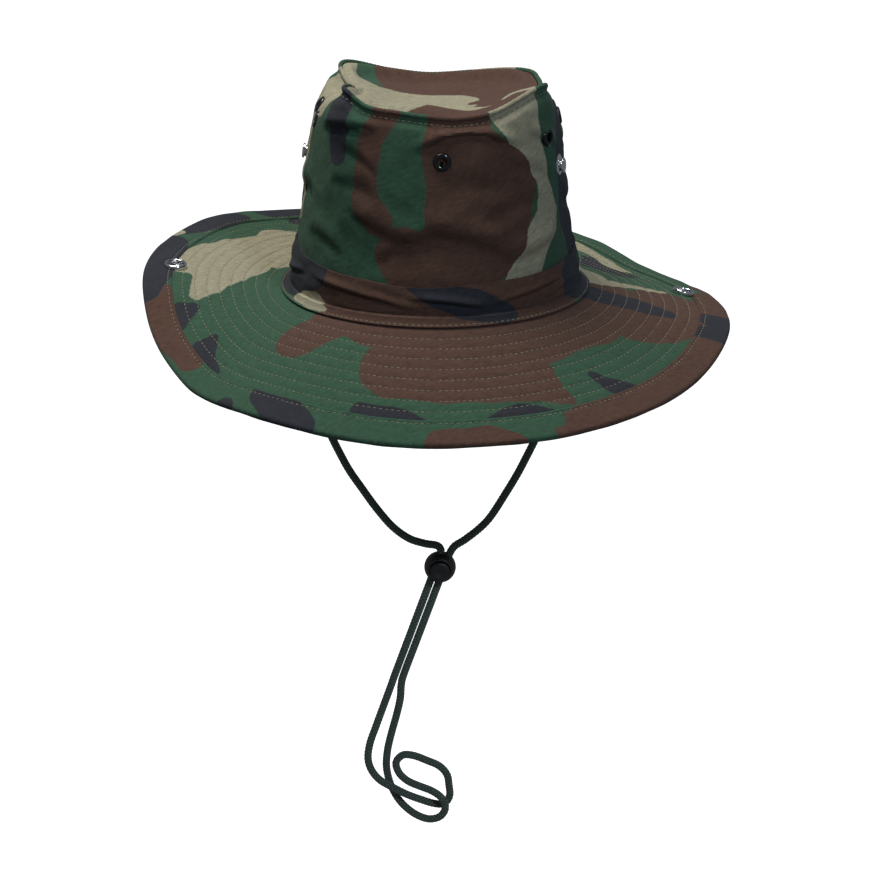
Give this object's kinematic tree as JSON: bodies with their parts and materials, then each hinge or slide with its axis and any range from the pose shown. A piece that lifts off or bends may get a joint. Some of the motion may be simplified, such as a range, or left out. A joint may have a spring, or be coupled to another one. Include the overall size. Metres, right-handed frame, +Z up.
{
  "type": "boonie hat",
  "caption": "Wide-brim camouflage field hat with quilted brim, turned hem, snap-up sides, metal eyelets and a braided chin cord with a spring lock.",
  "frame": {"origin": "centre of the head opening, in the plane of the seam that joins crown and brim", "axes": "+Z up through the crown, -Y to the front of the hat, +X to the wearer's left"},
  "size_m": [0.3552, 0.3616, 0.4882],
  "materials": {
    "camouflage_twill": "woodland camouflage cotton twill in green, brown, khaki and near-black",
    "sweatband_cloth": "plain olive cotton tape",
    "label_cloth": "blank white woven tape",
    "braided_cord": "dark green braided cord",
    "snap_metal": "polished nickel plate",
    "plain_steel": "plain bright steel",
    "black_enamel": "glossy black enamel on brass",
    "lock_plastic": "brown-black moulded plastic, satin"
  },
  "bodies": {
    "hat": {"crown_front_panel": "camouflage_twill", "crown_back_panel": "camouflage_twill", "crown_tip": "camouflage_twill", "crown_top_welt": "camouflage_twill", "crown_band": "camouflage_twill", "sweatband": "sweatband_cloth", "care_label": "label_cloth", "brim_middle_upper": "camouflage_twill", "brim_middle_under": "camouflage_twill", "brim_hem_front": "camouflage_twill", "brim_hem_back": "camouflage_twill", "eyelet_front": "black_enamel", "eyelet_back": "black_enamel", "eyelet_left_fore": "black_enamel", "eyelet_left_aft": "black_enamel", "eyelet_right_fore": "black_enamel", "eyelet_right_aft": "black_enamel", "snap_stud_left": "snap_metal", "snap_stud_right": "snap_metal", "snap_stud_plate_left": "plain_steel", "snap_stud_plate_right": "plain_steel", "cord_anchor_left": "sweatband_cloth", "cord_anchor_right": "sweatband_cloth"},
    "left_wing": {"wing_left_upper": "camouflage_twill", "wing_left_under": "camouflage_twill", "wing_left_hem": "camouflage_twill", "snap_socket_left": "snap_metal", "snap_socket_cap_left": "plain_steel"},
    "right_wing": {"wing_right_upper": "camouflage_twill", "wing_right_under": "camouflage_twill", "wing_right_hem": "camouflage_twill", "snap_socket_right": "snap_metal", "snap_socket_cap_right": "plain_steel"},
    "chin_cord": {"chin_cord": "braided_cord"},
    "cord_lock": {"cord_lock_barrel": "lock_plastic"},
    "lock_button": {"cord_lock_button": "lock_plastic", "cord_lock_spring": "plain_steel"}
  },
  "joints": [
    {"name": "left_side_fold", "type": "hinge", "parent": "hat", "child": "left_wing", "pos_m": [-0.086, 0, 0.01], "axis": [0, 0.9806, 0.1961], "range_deg": [0, 96], "stiffness_Nm_per_rad": 0.08, "springref_deg": 6.88},
    {"name": "right_side_fold", "type": "hinge", "parent": "hat", "child": "right_wing", "pos_m": [0.086, 0, 0.006], "axis": [0, -0.9806, -0.1961], "range_deg": [0, 104], "stiffness_Nm_per_rad": 0.08, "springref_deg": 6.88},
    {"name": "chin_cord_swing", "type": "hinge", "parent": "hat", "child": "chin_cord", "pos_m": [0, -0.004, 0.006], "axis": [1, 0, 0], "range_deg": [-60, 60]},
    {"name": "cord_lock_slide", "type": "slide", "parent": "chin_cord", "child": "cord_lock", "axis": [-0.3338, 0, -0.9426], "range_m": [0, 0.06]},
    {"name": "lock_button_press", "type": "slide", "parent": "cord_lock", "child": "lock_button", "axis": [0, 1, 0], "range_m": [0, 0.003], "stiffness_N_per_m": 400, "springref_m": -0.003, "deforming": ["cord_lock_spring"]}
  ]
}
